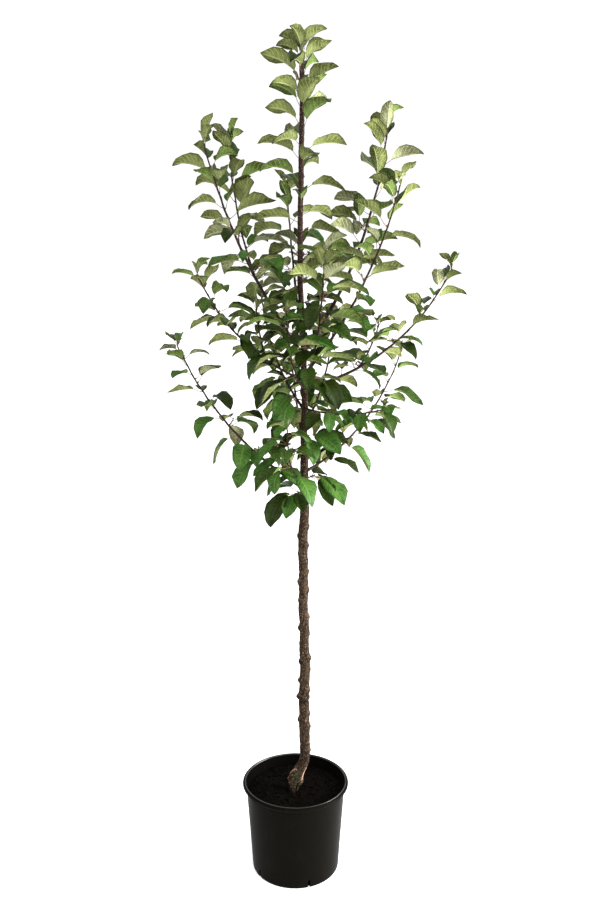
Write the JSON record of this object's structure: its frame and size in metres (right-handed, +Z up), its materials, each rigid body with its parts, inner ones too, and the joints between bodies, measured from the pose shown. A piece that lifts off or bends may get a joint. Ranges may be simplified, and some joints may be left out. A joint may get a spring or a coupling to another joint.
{
  "type": "potted dwarf fruit tree",
  "caption": "Young dwarf apple tree: a straight slim trunk with an open narrow crown of upright leafy boughs, in a round black nursery pot of compost.",
  "frame": {"origin": "the middle of the flat underside of the pot, on the ground", "axes": "+Z straight up along the pot's axis, -Y towards the tree's fuller face, +X to the right of someone who looks at that face"},
  "size_m": [0.7462, 0.5185, 2.1168],
  "materials": {
    "pot": "satin",
    "soil": "matte",
    "bark": "matte",
    "young_bark": "satin",
    "foliage": "satin"
  },
  "bodies": {
    "root": {"bough_back_high": "young_bark", "bough_back_left": "young_bark", "bough_back_low": "young_bark", "bough_back_right": "young_bark", "bough_front_left": "young_bark", "bough_front_middle": "young_bark", "bough_front_right": "young_bark", "bough_long_right": "young_bark", "bough_lower_left": "young_bark", "bough_lower_right": "young_bark", "bough_middle_left": "young_bark", "bough_short_left": "young_bark", "bough_thin_right": "young_bark", "bough_upper_left": "young_bark", "bough_upper_right": "young_bark", "foliage_back_high": "foliage", "foliage_back_left": "foliage", "foliage_back_low": "foliage", "foliage_back_right": "foliage", "foliage_front_left": "foliage", "foliage_front_middle": "foliage", "foliage_front_right": "foliage", "foliage_leader": "foliage", "foliage_long_right": "foliage", "foliage_lower_left": "foliage", "foliage_lower_right": "foliage", "foliage_middle_left": "foliage", "foliage_short_left": "foliage", "foliage_spur_01": "foliage", "foliage_spur_02": "foliage", "foliage_spur_03": "foliage", "foliage_spur_04": "foliage", "foliage_spur_05": "foliage", "foliage_spur_06": "foliage", "foliage_spur_07": "foliage", "foliage_spur_09": "foliage", "foliage_spur_10": "foliage", "foliage_spur_11": "foliage", "foliage_spur_12": "foliage", "foliage_spur_13": "foliage", "foliage_thin_right": "foliage", "foliage_upper_left": "foliage", "foliage_upper_right": "foliage", "pot": "pot", "soil": "soil", "trunk": "bark"}
  },
  "joints": []
}
